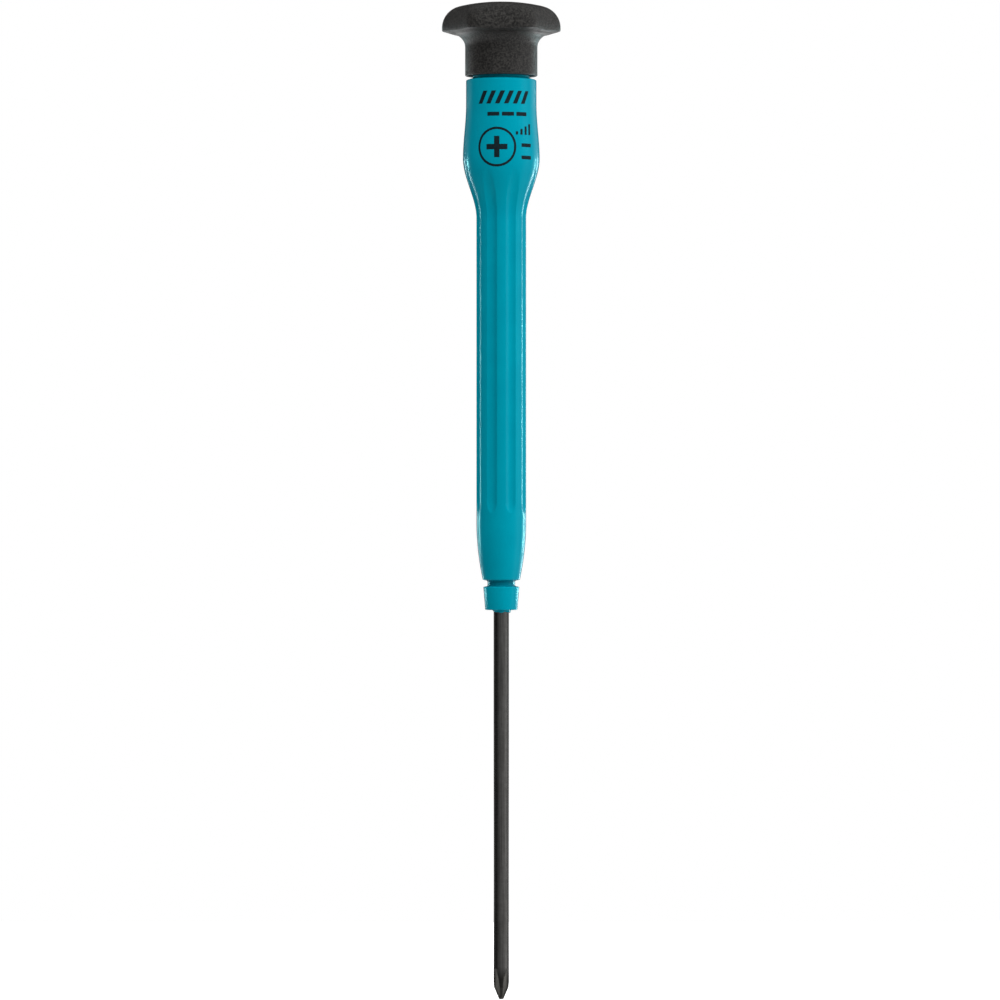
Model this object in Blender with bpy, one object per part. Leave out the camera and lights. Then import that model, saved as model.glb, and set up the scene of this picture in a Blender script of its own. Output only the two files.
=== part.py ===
"""Watchmaker's screwdriver with a fixed cross-point blade and a free-turning cap.

The driver stands on its tip: the tip's end face is at the world origin and the
tool's axis is the world Z axis. Lengths are in millimetres until they reach
Blender, which works in metres. The front of the driver faces -Y.

Sub-parts:
  handle       one moulding: nose collar, grip with flutes, bulb and cap spigot
  blade        one steel rod: cross point, shaft and a flattened, buried tang
  thrust_ball  steel ball that the cap bears on
  swivel_cap   one moulding: hexagonal head and round skirt, snapped over the spigot
"""

from math import asin, cos, pi, radians, sin, sqrt

import bmesh
import bpy
from mathutils import Vector

MM = 0.001

# Axial stations of the driver, measured from the tip.
COLLAR_BOTTOM = 60.5
COLLAR_TOP = 64.1
NOSE_END = 65.2
TAPER_TOP = 73.8
FLUTE_BOTTOM = 75.6
FLUTE_TOP = 128.9
BULB_FOOT = 121.4
BULB_CREST = 130.7
CROWN_START = 139.1
SHOULDER = 142.85
SPIGOT_FOOT = 143.2
SPIGOT_TOP = 149.6
CAP_BOTTOM = 143.5
HEAD_BOTTOM = 150.45
CAP_TOP = 154.95

# Radii of the handle.
COLLAR_LOW_RADIUS = 2.50
COLLAR_HIGH_RADIUS = 2.80
GROOVE_RADIUS = 2.15
NOSE_RADIUS = 2.89
GRIP_RADIUS = 3.86
BULB_RADIUS = 5.97
CROWN_RADIUS = 5.47
SPIGOT_RADIUS = 4.42
BEAD_RADIUS = 4.75

# Eight flutes run along the grip, with a land facing the front.
FLUTES = 8
FLUTE_HALF_ANGLE = radians(12.5)
FLUTE_DEPTH = 0.36
FLUTE_STEPS = 5
LAND_STEPS = 2

# The blade and the cross point at its end.
BLADE_RADIUS = 1.19
TIP_END_RADIUS = 0.33
TIP_CONE_LENGTH = 1.87
TIP_CONE_RADIUS = 1.13
TIP_FLARE_RADIUS = 1.20
WAIST_RADIUS = 1.165
TIP_FLUTE_LENGTH = 4.8
TIP_CORE_RADIUS = 0.29
WING_HALF_THICKNESS = (0.15, 0.25)
TANG_TOP = 104.0
TANG_WING = (87.0, 94.0)
TANG_SPREAD = 0.5
TANG_SQUEEZE = 0.32

# Clearances: the moulded-in blade, the ball in its seats, and the turning cap.
BLADE_CLEARANCE = 0.05
BALL_CLEARANCE = 0.05
CAP_CLEARANCE = 0.08

BALL_RADIUS = 1.5
BALL_HEIGHT = 149.9
BALL_SEGMENTS = 24

# The cap.
SKIRT_RADIUS = 5.62
CEILING = 150.2
SNAP_GROOVE_RADIUS = 4.85
HEAD_CORNER_RADIUS = 9.22
HEAD_CORNER_ROUND = 2.2
HEAD_SHOULDER_ROUND = 3.37
RIM_DROP = 0.2
CROWN_EDGE_SLOPE = radians(12)
CROWN_FLAT_RADIUS = 1.6
HOLLOW_START = 148.0
HOLLOW_WIDTH = 2.6
HOLLOW_RISE = 2.2
CAP_SIDES = 60

SHARP_ANGLE = radians(28)


def material(name, colour, roughness, metallic=0.0):
    """A Principled material in one plain colour."""
    made = bpy.data.materials.new(name)
    made.use_nodes = True
    shader = made.node_tree.nodes["Principled BSDF"]
    shader.inputs["Base Color"].default_value = (*colour, 1.0)
    shader.inputs["Roughness"].default_value = roughness
    shader.inputs["Metallic"].default_value = metallic
    made.diffuse_color = (*colour, 1.0)
    return made


def smoothstep(value, start, end):
    """0 before start, 1 after end, and an S-shaped rise between them."""
    t = min(max((value - start) / (end - start), 0.0), 1.0)
    return t * t * (3 - 2 * t)


def spaced(start, end, steps):
    """Evenly spaced values from start to end, without the end itself."""
    return [start + (end - start) * i / steps for i in range(steps)]


def even_angles(count):
    return [2 * pi * i / count for i in range(count)]


def round_ring(radius, height, angles):
    return [(radius * cos(a), radius * sin(a), height) for a in angles]


def seat_profile(edge_height, top):
    """(height, radius) down, or up, a ball seat from its edge to near its pole."""
    seat_radius = BALL_RADIUS + BALL_CLEARANCE
    edge_angle = asin((edge_height - BALL_HEIGHT) / seat_radius)
    pole_angle = pi / 2 if top else -pi / 2
    profile = []
    for angle in spaced(edge_angle, pole_angle, 5):
        profile.append((BALL_HEIGHT + seat_radius * sin(angle), seat_radius * cos(angle)))
    return profile, BALL_HEIGHT + (seat_radius if top else -seat_radius)


def add_loft(name, rings, first_pole, last_pole, origin_height, look):
    """A closed body from rings of equal size, each end closed by a fan to a pole."""
    mesh = bpy.data.meshes.new(name)
    body = bmesh.new()
    lower = Vector((0.0, 0.0, origin_height))
    rows = []
    for ring in rings:
        rows.append([body.verts.new((Vector(point) - lower) * MM) for point in ring])
    count = len(rows[0])
    for near, far in zip(rows, rows[1:]):
        for i in range(count):
            j = (i + 1) % count
            body.faces.new((near[i], near[j], far[j], far[i]))
    for row, height in ((rows[0], first_pole), (rows[-1], last_pole)):
        pole = body.verts.new((0.0, 0.0, (height - origin_height) * MM))
        for i in range(count):
            body.faces.new((row[i], row[(i + 1) % count], pole))
    bmesh.ops.recalc_face_normals(body, faces=body.faces)
    body.to_mesh(mesh)
    body.free()
    mesh.materials.append(look)
    mesh.shade_smooth()
    mesh.set_sharp_from_angle(angle=SHARP_ANGLE)
    made = bpy.data.objects.new(name, mesh)
    made.location = (0.0, 0.0, origin_height * MM)
    bpy.context.collection.objects.link(made)
    return made


# ---- blade -----------------------------------------------------------------


def tang_radius(angle, height, extra=0.0):
    """Radius of the buried shaft, which is pressed flat into two wings over a short length."""
    low, high = TANG_WING
    flat = smoothstep(height, low, low + 1.5) * (1 - smoothstep(height, high - 1.5, high))
    wide = BLADE_RADIUS + flat * TANG_SPREAD
    thin = BLADE_RADIUS - flat * TANG_SQUEEZE
    return wide * thin / sqrt((thin * cos(angle)) ** 2 + (wide * sin(angle)) ** 2) + extra


def blade_outline_radius(height):
    """Outer radius of the blade: a cone at the tip, then a slightly waisted shaft."""
    if height <= TIP_CONE_LENGTH:
        return TIP_END_RADIUS + (TIP_CONE_RADIUS - TIP_END_RADIUS) * height / TIP_CONE_LENGTH
    flared = TIP_CONE_RADIUS + (TIP_FLARE_RADIUS - TIP_CONE_RADIUS) * smoothstep(height, TIP_CONE_LENGTH, 2.8)
    waisted = (TIP_FLARE_RADIUS - WAIST_RADIUS) * smoothstep(height, 3.0, 18.0)
    return flared - waisted + (BLADE_RADIUS - WAIST_RADIUS) * smoothstep(height, 18.0, 45.0)


def tip_quadrant(height, outer):
    """Twelve points from one wing's middle round to the next: half a wing, a flute, half a wing."""
    thin, thick = WING_HALF_THICKNESS
    half = thin + (thick - thin) * min(height / TIP_CONE_LENGTH, 1.0)
    run_out = min(height / TIP_FLUTE_LENGTH, 1.0)
    core = max(TIP_CORE_RADIUS + (BLADE_RADIUS - TIP_CORE_RADIUS) * run_out, half * sqrt(2))
    core = min(core, outer)
    edge = min(asin(min(half / outer, 1.0)), radians(38))
    fade = 1 - smoothstep(run_out, 0.8, 1.0)
    corner = Vector((outer * cos(edge), outer * sin(edge)))
    floor = Vector((core, core)) / sqrt(2)
    points = [Vector((outer * cos(edge * s), outer * sin(edge * s))) for s in (0.0, 0.5)]
    points += [corner.lerp(floor, s) for s in (0.0, 0.3, 0.6, 0.85, 1.0)]
    for i, point in enumerate(points):
        even = radians(7.5) * i
        points[i] = Vector((outer * cos(even), outer * sin(even))).lerp(point, fade)
    mirrored = [Vector((point.y, point.x)) for point in points[-2:0:-1]]
    return points + mirrored


def tip_ring(height):
    """One cross-section of the cross point, its four quadrants turned copies of one."""
    quadrant = tip_quadrant(height, blade_outline_radius(height))
    ring = []
    for turn in range(4):
        for point in quadrant:
            x, y = point
            for _ in range(turn):
                x, y = -y, x
            ring.append((x, y, height))
    return ring


def blade_rings():
    rings = []
    for height in (0.0, 0.6, 1.2, TIP_CONE_LENGTH, 2.1, 2.7, 3.3, 3.9, 4.4, TIP_FLUTE_LENGTH):
        rings.append(tip_ring(height))
    angles = even_angles(len(rings[0]))
    for height in (10.0, 18.0, 32.0, 45.0):
        rings.append(round_ring(blade_outline_radius(height), height, angles))
    low, high = TANG_WING
    for height in (low, low + 0.75, low + 1.5, high - 1.5, high - 0.75, high, TANG_TOP - 0.3):
        rings.append([(tang_radius(a, height) * cos(a), tang_radius(a, height) * sin(a), height) for a in angles])
    rings.append(round_ring(BLADE_RADIUS - 0.3, TANG_TOP, angles))
    return rings


def build_blade(look):
    return add_loft("blade", blade_rings(), 0.0, TANG_TOP, 0.0, look)


# ---- handle ----------------------------------------------------------------


def handle_angles():
    """Angles round the handle: finer steps across each flute than across each land."""
    pitch = 2 * pi / FLUTES
    land_half = pitch / 2 - FLUTE_HALF_ANGLE
    angles = []
    for i in range(FLUTES):
        land = i * pitch
        angles += spaced(land - land_half, land + land_half, LAND_STEPS)
        angles += spaced(land + land_half, land + pitch - land_half, FLUTE_STEPS)
    return angles


def body_radius(height):
    """Radius of the handle between its nose and its shoulder, without flutes."""
    if height < TAPER_TOP:
        fall = (TAPER_TOP - height) / (TAPER_TOP - NOSE_END)
        return GRIP_RADIUS - (GRIP_RADIUS - NOSE_RADIUS) * fall**1.85
    if height < BULB_CREST:
        return GRIP_RADIUS + (BULB_RADIUS - GRIP_RADIUS) * smoothstep(height, BULB_FOOT, BULB_CREST)
    return BULB_RADIUS + (CROWN_RADIUS - BULB_RADIUS) * smoothstep(height, BULB_CREST, CROWN_START)


def flute_fade(height):
    """How deep the flutes are at this height, from 0 to 1, with round run-outs."""
    if not FLUTE_BOTTOM < height < FLUTE_TOP:
        return 0.0
    from_bottom = min((height - FLUTE_BOTTOM) / 1.8, 1.0)
    from_top = min((FLUTE_TOP - height) / 4.5, 1.0)
    return sqrt(1 - (1 - from_bottom) ** 2) * sqrt(1 - (1 - from_top) ** 2)


def fluted_ring(height, angles):
    pitch = 2 * pi / FLUTES
    depth = FLUTE_DEPTH * flute_fade(height)
    ring = []
    for angle in angles:
        across = abs((angle % pitch) - pitch / 2) / FLUTE_HALF_ANGLE
        radius = body_radius(height) - depth * max(0.0, 1 - across**2)
        ring.append((radius * cos(angle), radius * sin(angle), height))
    return ring


def bore_rings(angles):
    """The blade's cavity, from its blind end down to its mouth."""
    low, high = TANG_WING
    heights = (TANG_TOP + 0.25, high, high - 0.75, high - 1.5, low + 1.5, low + 0.75, low, COLLAR_BOTTOM - 0.35)
    rings = []
    for height in heights:
        radii = [tang_radius(a, height, BLADE_CLEARANCE) for a in angles]
        rings.append([(r * cos(a), r * sin(a), height) for r, a in zip(radii, angles)])
    return rings


def collar_profile():
    """(height, radius) up the outside from the blade's boss to the handle's nose."""
    return [
        (COLLAR_BOTTOM - 0.35, 1.34),
        (COLLAR_BOTTOM - 0.12, 1.46),
        (COLLAR_BOTTOM, 1.50),
        (COLLAR_BOTTOM, COLLAR_LOW_RADIUS - 0.12),
        (COLLAR_BOTTOM + 0.13, COLLAR_LOW_RADIUS),
        (COLLAR_TOP - 0.15, COLLAR_HIGH_RADIUS),
        (COLLAR_TOP, COLLAR_HIGH_RADIUS - 0.15),
        (COLLAR_TOP + 0.12, GROOVE_RADIUS),
        (NOSE_END - 0.22, GROOVE_RADIUS),
        (NOSE_END - 0.08, NOSE_RADIUS - 0.18),
    ]


def spigot_profile():
    """(height, radius) from the shoulder up the spigot, over its snap bead, to its end."""
    return [
        (SHOULDER - 0.2, CROWN_RADIUS),
        (SHOULDER, CROWN_RADIUS - 0.08),
        (SPIGOT_FOOT, SPIGOT_RADIUS),
        (146.5, SPIGOT_RADIUS),
        (147.1, BEAD_RADIUS),
        (147.8, BEAD_RADIUS),
        (148.4, SPIGOT_RADIUS - 0.17),
        (SPIGOT_TOP - 0.3, SPIGOT_RADIUS - 0.17),
        (SPIGOT_TOP, SPIGOT_RADIUS - 0.47),
    ]


def body_heights():
    heights = spaced(NOSE_END + 0.05, TAPER_TOP, 6)
    heights += [TAPER_TOP, FLUTE_BOTTOM, FLUTE_BOTTOM + 0.25, FLUTE_BOTTOM + 0.9, FLUTE_BOTTOM + 1.8]
    heights += [100.0]
    heights += spaced(BULB_FOOT, FLUTE_TOP, 7)
    heights += spaced(FLUTE_TOP, CROWN_START, 7)
    heights += [CROWN_START]
    return heights


def handle_rings():
    angles = handle_angles()
    rings = bore_rings(angles)
    rings += [round_ring(radius, height, angles) for height, radius in collar_profile()]
    rings += [fluted_ring(height, angles) for height in body_heights()]
    rings += [round_ring(radius, height, angles) for height, radius in spigot_profile()]
    seat, seat_pole = seat_profile(SPIGOT_TOP, top=False)
    rings += [round_ring(radius, height, angles) for height, radius in seat]
    return rings, seat_pole


def build_handle(look):
    rings, seat_pole = handle_rings()
    return add_loft("handle", rings, TANG_TOP + 0.25, seat_pole, COLLAR_BOTTOM, look)


# ---- cap -------------------------------------------------------------------


def hex_share(angle):
    """Radius at this angle of a hexagon with round corners, as a share of its corner radius."""
    centre = HEAD_CORNER_RADIUS - HEAD_CORNER_ROUND
    apothem = centre * cos(pi / 6) + HEAD_CORNER_ROUND
    from_corner = abs((angle + pi / 6) % (pi / 3) - pi / 6)
    flat = apothem / cos(pi / 6 - from_corner)
    if apothem * sin(pi / 6 - from_corner) / cos(pi / 6 - from_corner) <= centre * sin(pi / 6):
        return flat / HEAD_CORNER_RADIUS
    reach = centre * sin(from_corner)
    return (centre * cos(from_corner) + sqrt(HEAD_CORNER_ROUND**2 - reach**2)) / HEAD_CORNER_RADIUS


def head_ring(radius, height, hexness):
    """A ring of the head, from round (hexness 0) to hexagonal (1).

    Near the rim each side also hangs a little lower in its middle than at its corners.
    """
    drop = RIM_DROP * hexness * (1 - smoothstep(height, HEAD_BOTTOM, 152.0))
    deepest = 1 - hex_share(pi / 6)
    ring = []
    for angle in even_angles(CAP_SIDES):
        inset = 1 - hex_share(angle)
        reach = radius * (1 - hexness * inset)
        ring.append((reach * cos(angle), reach * sin(angle), height - drop * inset / deepest))
    return ring


def bore_profile():
    """(height, radius) down the inside of the cap, from its ceiling to its mouth."""
    bore = SPIGOT_RADIUS + CAP_CLEARANCE
    seat, seat_pole = seat_profile(CEILING, top=True)
    profile = seat[::-1]
    profile += [
        (CEILING, bore),
        (148.4, bore),
        (148.05, SNAP_GROOVE_RADIUS),
        (146.95, SNAP_GROOVE_RADIUS),
        (146.4, bore),
        (CAP_BOTTOM + 0.15, bore),
        (CAP_BOTTOM, bore + 0.15),
    ]
    return profile, seat_pole


def skirt_profile():
    """(height, radius) up the outside of the skirt."""
    return [
        (CAP_BOTTOM, SKIRT_RADIUS - 0.15),
        (CAP_BOTTOM + 0.15, SKIRT_RADIUS),
        (HOLLOW_START, SKIRT_RADIUS),
    ]


def hollow_rings():
    """The hollow under the head: a quarter ellipse that leaves the skirt round and ends hexagonal."""
    rings = []
    for step in range(1, 7):
        turn = step * pi / 12
        radius = SKIRT_RADIUS + HOLLOW_WIDTH * (1 - cos(turn))
        rings.append(head_ring(radius, HOLLOW_START + HOLLOW_RISE * sin(turn), (step / 6) ** 3))
    return rings


def crown_rings():
    """The head from its rim, round its shoulder and over its shallow dome to a small flat."""
    dome_edge = HEAD_CORNER_RADIUS - HEAD_SHOULDER_ROUND * (1 - sin(CROWN_EDGE_SLOPE))
    dome_radius = dome_edge / sin(CROWN_EDGE_SLOPE)
    flat_slope = asin(CROWN_FLAT_RADIUS / dome_radius)
    dome_centre = CAP_TOP - dome_radius * cos(flat_slope)
    widest = dome_centre + (dome_radius - HEAD_SHOULDER_ROUND) * cos(CROWN_EDGE_SLOPE)
    profile = [
        (HEAD_BOTTOM, HEAD_CORNER_RADIUS - 0.12),
        (HEAD_BOTTOM + 0.2, HEAD_CORNER_RADIUS),
    ]
    for turn in spaced(0.0, pi / 2 - CROWN_EDGE_SLOPE, 8):
        radius = HEAD_CORNER_RADIUS - HEAD_SHOULDER_ROUND * (1 - cos(turn))
        profile.append((widest + HEAD_SHOULDER_ROUND * sin(turn), radius))
    for slope in [*spaced(CROWN_EDGE_SLOPE, flat_slope, 3), flat_slope]:
        profile.append((dome_centre + dome_radius * cos(slope), dome_radius * sin(slope)))
    return [head_ring(radius, height, 1 - smoothstep(height, 152.4, 155.5)) for height, radius in profile]


def build_cap(look):
    angles = even_angles(CAP_SIDES)
    inside, seat_pole = bore_profile()
    rings = [round_ring(radius, height, angles) for height, radius in inside]
    rings += [round_ring(radius, height, angles) for height, radius in skirt_profile()]
    rings += hollow_rings()
    rings += crown_rings()
    return add_loft("swivel_cap", rings, seat_pole, CAP_TOP, CAP_BOTTOM, look)


def build_ball(look):
    bpy.ops.mesh.primitive_uv_sphere_add(
        segments=BALL_SEGMENTS,
        ring_count=BALL_SEGMENTS // 2,
        radius=BALL_RADIUS * MM,
        location=(0.0, 0.0, BALL_HEIGHT * MM),
    )
    ball = bpy.context.object
    ball.name = "thrust_ball"
    ball.data.name = "thrust_ball"
    ball.data.materials.append(look)
    ball.data.shade_smooth()
    return ball


def main():
    for old in list(bpy.data.objects):
        bpy.data.objects.remove(old, do_unlink=True)

    teal = material("teal_plastic", (0.006, 0.27, 0.36), 0.38)
    charcoal = material("charcoal_plastic", (0.028, 0.027, 0.027), 0.62)
    black_steel = material("black_steel", (0.05, 0.05, 0.052), 0.38, 1.0)
    bright_steel = material("bright_steel", (0.62, 0.62, 0.63), 0.2, 1.0)

    driver = bpy.data.objects.new("driver", None)
    bpy.context.collection.objects.link(driver)
    for piece in (
        build_handle(teal),
        build_blade(black_steel),
        build_ball(bright_steel),
        build_cap(charcoal),
    ):
        piece.parent = driver


main()
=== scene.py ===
"""The looks of the watchmaker's screwdriver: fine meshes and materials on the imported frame.

The handle, the blade and the cap replace their plain CAD solids with meshes of the same size,
the thrust ball keeps its CAD mesh, and the printed marks lie on the handle. Lengths are in
metres, as the frame's are; MM turns millimetres into metres.
"""

from math import asin, atan2, cos, pi, radians, sin, sqrt

import bpy
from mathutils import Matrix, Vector


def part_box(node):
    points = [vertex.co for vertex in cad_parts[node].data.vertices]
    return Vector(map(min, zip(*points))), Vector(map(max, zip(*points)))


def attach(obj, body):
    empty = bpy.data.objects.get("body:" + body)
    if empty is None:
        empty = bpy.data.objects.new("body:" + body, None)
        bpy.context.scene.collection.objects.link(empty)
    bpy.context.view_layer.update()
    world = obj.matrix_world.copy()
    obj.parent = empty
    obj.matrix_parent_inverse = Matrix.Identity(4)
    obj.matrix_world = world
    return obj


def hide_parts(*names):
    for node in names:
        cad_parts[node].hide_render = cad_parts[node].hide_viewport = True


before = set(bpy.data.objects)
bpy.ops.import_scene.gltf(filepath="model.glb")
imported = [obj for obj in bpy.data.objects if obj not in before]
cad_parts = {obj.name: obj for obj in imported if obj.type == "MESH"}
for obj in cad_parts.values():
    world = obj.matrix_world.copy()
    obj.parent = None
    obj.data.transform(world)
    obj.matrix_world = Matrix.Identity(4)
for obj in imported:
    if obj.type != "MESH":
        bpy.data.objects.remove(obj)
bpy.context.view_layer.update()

MM = 0.001
BLADE_LOW, BLADE_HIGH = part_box("blade")
HANDLE_LOW, HANDLE_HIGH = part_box("handle")
CAP_LOW, CAP_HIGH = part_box("swivel_cap")
BALL_LOW, BALL_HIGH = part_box("thrust_ball")

# The handle, from the frame's box and the outline's own stations.
BULB_RADIUS = HANDLE_HIGH.x
GRIP_RADIUS = 3.86 * MM
CROWN_RADIUS = 5.47 * MM
NOSE_RADIUS = 2.89 * MM
GROOVE_RADIUS = 2.15 * MM
COLLAR_LOW_RADIUS = 2.50 * MM
COLLAR_HIGH_RADIUS = 2.80 * MM
SPIGOT_RADIUS = 4.42 * MM
BEAD_RADIUS = 4.75 * MM
BOSS_RADIUS = 1.46 * MM
BOSS_HEIGHT = 0.35 * MM
FLASH_UNEVENNESS = 0.22 * MM
FLASH_SIDE = radians(-50)
COLLAR_BOTTOM = HANDLE_LOW.z + BOSS_HEIGHT
COLLAR_TOP = COLLAR_BOTTOM + 3.6 * MM
NOSE_END = COLLAR_TOP + 1.1 * MM
TAPER_TOP = NOSE_END + 8.6 * MM
TAPER_CURVE = 1.85
SPIGOT_TOP = HANDLE_HIGH.z
BEAD_STEPS = (146.5 * MM, 147.1 * MM, 147.8 * MM, 148.4 * MM)
SPIGOT_END_RADIUS = SPIGOT_RADIUS - 0.17 * MM
SHOULDER = CAP_LOW.z - 0.65 * MM
BULB_FOOT = 121.4 * MM
BULB_CREST = 130.7 * MM
CROWN_START = 139.1 * MM

# The flutes of the grip.
FLUTES = 8
FLUTE_HALF_ANGLE = radians(12.5)
FLUTE_DEPTH = 0.36 * MM
FLUTE_EDGE_SOFTNESS = 0.10
FLUTE_BOTTOM = 75.6 * MM
FLUTE_BOTTOM_ROUND = 1.8 * MM
FLUTE_TOP = 128.9 * MM
FLUTE_TOP_ROUND = 6.0 * MM

# The blade.
BLADE_RADIUS = 1.19 * MM
BLADE_CLEARANCE = 0.05 * MM
BORE_END_CLEARANCE = 0.25 * MM
TIP_END_RADIUS = 0.33 * MM
TIP_END_ROUND = 0.1 * MM
TIP_CONE_LENGTH = 1.87 * MM
TIP_CONE_RADIUS = 1.13 * MM
TIP_FLARE_RADIUS = 1.20 * MM
TIP_FLARE_END = 2.8 * MM
WAIST_RADIUS = 1.165 * MM
WAIST = (3 * MM, 18 * MM, 45 * MM)
TIP_FLUTE_LENGTH = 4.8 * MM
TIP_CORE_RADIUS = 0.29 * MM
TIP_CUTTER_CURVE = 2.3
TIP_FLOOR_SAG = 0.07
TIP_HALF_FLUTE_STEPS = 12
TIP_ARCH_START = 0.45
TIP_ARCH_EDGE = radians(41)
TIP_SPREAD_END = 9 * MM
WING_HALF_THICKNESS = (0.15 * MM, 0.25 * MM)
BLADE_END_CHAMFER = 0.3 * MM
SHAFT_END = 60 * MM
BURIED_FOOT = 62 * MM
BELOW_TANG = 75 * MM
TANG_WING = (87 * MM, 94 * MM)
ABOVE_TANG = 100 * MM
TANG_STEPS = 20
TANG_RAMP = 1.5 * MM
TANG_SPREAD = 0.5 * MM
TANG_SQUEEZE = 0.32 * MM

# The cap.
SKIRT_RADIUS = 5.62 * MM
CAP_BORE_RADIUS = 4.50 * MM
SNAP_GROOVE_RADIUS = 4.85 * MM
SNAP_GROOVE_STEPS = (148.4 * MM, 148.05 * MM, 146.95 * MM, 146.4 * MM)
CEILING = 150.2 * MM
BALL_SEAT_RADIUS = 1.55 * MM
BALL_CENTRE = (BALL_LOW.z + BALL_HIGH.z) / 2
HEAD_BOTTOM = CAP_HIGH.z - 4.5 * MM
HEAD_CORNER_RADIUS = CAP_HIGH.x
HEAD_CORNER_ROUND = 2.2 * MM
HEAD_SHOULDER_ROUND = 3.37 * MM
HEAD_RIM_ROUND = 0.16 * MM
RIM_DROP = 0.2 * MM
RIM_DROP_FADE = 1.55 * MM
HEX_FADE = (1.95 * MM, 5.05 * MM)
CROWN_EDGE_SLOPE = radians(12)
CROWN_FLAT_RADIUS = 1.6 * MM
HOLLOW_START = 148.0 * MM
HOLLOW_WIDTH = 2.6 * MM
HOLLOW_RISE = 2.2 * MM

# Printed marks on the front of the handle, in millimetres across from its middle and up.
INK_THICKNESS = 0.015 * MM
INK_STEP = 0.3
STROKE_LEFTS = (-3.8, -2.4, -1.0, 0.4, 1.8, 3.2)
STROKE_SPAN = (138.9, 140.9)
STROKE_WIDTH = 0.7
STROKE_LEAN = 0.9
RULE_LEFTS = (-2.2, 0.1, 2.4)
RULE_SPAN = (137.0, 137.6)
RULE_DASH = 1.9
TICKS = ((2.3, 134.6), (3.1, 135.0), (3.9, 135.4), (4.7, 135.8))
TICK_LOW = 134.1
TICK_WIDTH = 0.4
SHORT_BAR_SIDES = (3.3, 5.2)
SHORT_BAR_LOWS = (132.2, 130.3)
SHORT_BAR_HEIGHT = 0.55
RING_CENTRE = -0.7
RING_HEIGHT = 132.2
RING_RADIUS = 2.9
RING_WIDTH = 0.36
PLUS_ARM = 1.65
PLUS_HALF_WIDTH = 0.42

# The camera looks along +Y from the front, level with the middle of the tool.
CAMERA_DISTANCE = 0.874
CAMERA_HEIGHT = 77.6 * MM
CAMERA_SIDE = -0.2 * MM
VIEW_WIDTH = 155.5 * MM
SENSOR_WIDTH = 36.0

# How bright the studio is by azimuth in degrees, where 0 is the camera's side and 90 the right.
STUDIO_RING = (
    (-180, 0.03),
    (-155, 0.03),
    (-142, 0.26),
    (-125, 0.24),
    (-108, 0.04),
    (-92, 0.02),
    (-64, 0.05),
    (-48, 0.14),
    (-30, 0.25),
    (0, 0.30),
    (16, 0.40),
    (48, 0.46),
    (64, 0.62),
    (80, 0.95),
    (90, 0.75),
    (102, 0.12),
    (116, 0.40),
    (138, 0.60),
    (155, 0.08),
    (180, 0.03),
)
STUDIO_ABOVE = 0.5
STUDIO_BELOW = 0.6
FLOOR_GLOW = 1.0
FLOOR_HALF_SIZE = 160 * MM

# Soft boxes that face the tool: name, azimuth, elevation, width, height and watts.
# The fills light every piece, the strips the handle and the cap, the lines the handle and the
# rims the cap.
LIGHT_DISTANCE = 0.9
STRIP_TINT = (0.7, 0.98, 1.0)
LINE_TINT = (0.5, 1.0, 1.0)
FILLS = (
    ("fill", 3, 45, 0.6, 0.6, 4.75),
    ("side_right", 75, 20, 0.4, 0.6, 2.6),
    ("side_left", -75, 20, 0.4, 0.6, 0.6),
)
STRIPS = (
    ("strip_right", 145, -15, 0.09, 0.7, 1.9),
    ("strip_left", -145, -15, 0.06, 0.7, 1.1),
)
LINES = (
    ("line_right", 127, -0.8, 0.06, 0.18, 0.95),
    ("line_left", -124, -0.8, 0.06, 0.18, 0.85),
)
RIMS = (
    ("rim_right", 122, -12, 0.20, 0.4, 1.1),
    ("rim_left", -122, -12, 0.20, 0.4, 1.1),
    ("low_right", 82, -24, 0.06, 0.6, 0.5),
    ("low_left", -88, -24, 0.06, 0.6, 0.5),
    ("back_right", 164, -22, 0.30, 0.2, 0.9),
    ("back_left", -164, -22, 0.30, 0.2, 0.8),
)


# ---- outlines and lofts ----------------------------------------------------


def smoothstep(value, start, end):
    """0 before start, 1 after end, and an S-shaped rise between them."""
    t = min(max((value - start) / (end - start), 0.0), 1.0)
    return t * t * (3 - 2 * t)


def spaced(start, end, steps):
    """Evenly spaced values from start to end, without the end itself."""
    return [start + (end - start) * i / steps for i in range(steps)]


def rounded(corners, steps=5):
    """An outline of (radius, height) points with each inner corner turned into an arc.

    A corner is (radius, height, fillet), and a fillet of 0 leaves it sharp.
    """
    outline = []
    for i, (radius, height, fillet) in enumerate(corners):
        here = Vector((radius, height))
        if fillet == 0 or i in (0, len(corners) - 1):
            outline.append(tuple(here))
            continue
        back = Vector(corners[i - 1][:2]) - here
        ahead = Vector(corners[i + 1][:2]) - here
        reach = min(fillet, back.length * 0.45, ahead.length * 0.45)
        start = here + back.normalized() * reach
        end = here + ahead.normalized() * reach
        for step in range(steps + 1):
            t = step / steps
            point = start * (1 - t) ** 2 + here * 2 * t * (1 - t) + end * t**2
            outline.append(tuple(point))
    return outline


def seat_outline(edge_height, top, steps=8):
    """(radius, height) points of a ball seat, from its edge to near its pole; and the pole."""
    edge_angle = asin((edge_height - BALL_CENTRE) / BALL_SEAT_RADIUS)
    pole_angle = pi / 2 if top else -pi / 2
    outline = []
    for angle in spaced(edge_angle, pole_angle, steps):
        height = BALL_CENTRE + BALL_SEAT_RADIUS * sin(angle)
        outline.append((BALL_SEAT_RADIUS * cos(angle), height))
    return outline, BALL_CENTRE + (BALL_SEAT_RADIUS if top else -BALL_SEAT_RADIUS)


def turned_ring(radius, height, angles):
    return [(radius * cos(a), radius * sin(a), height) for a in angles]


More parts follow.
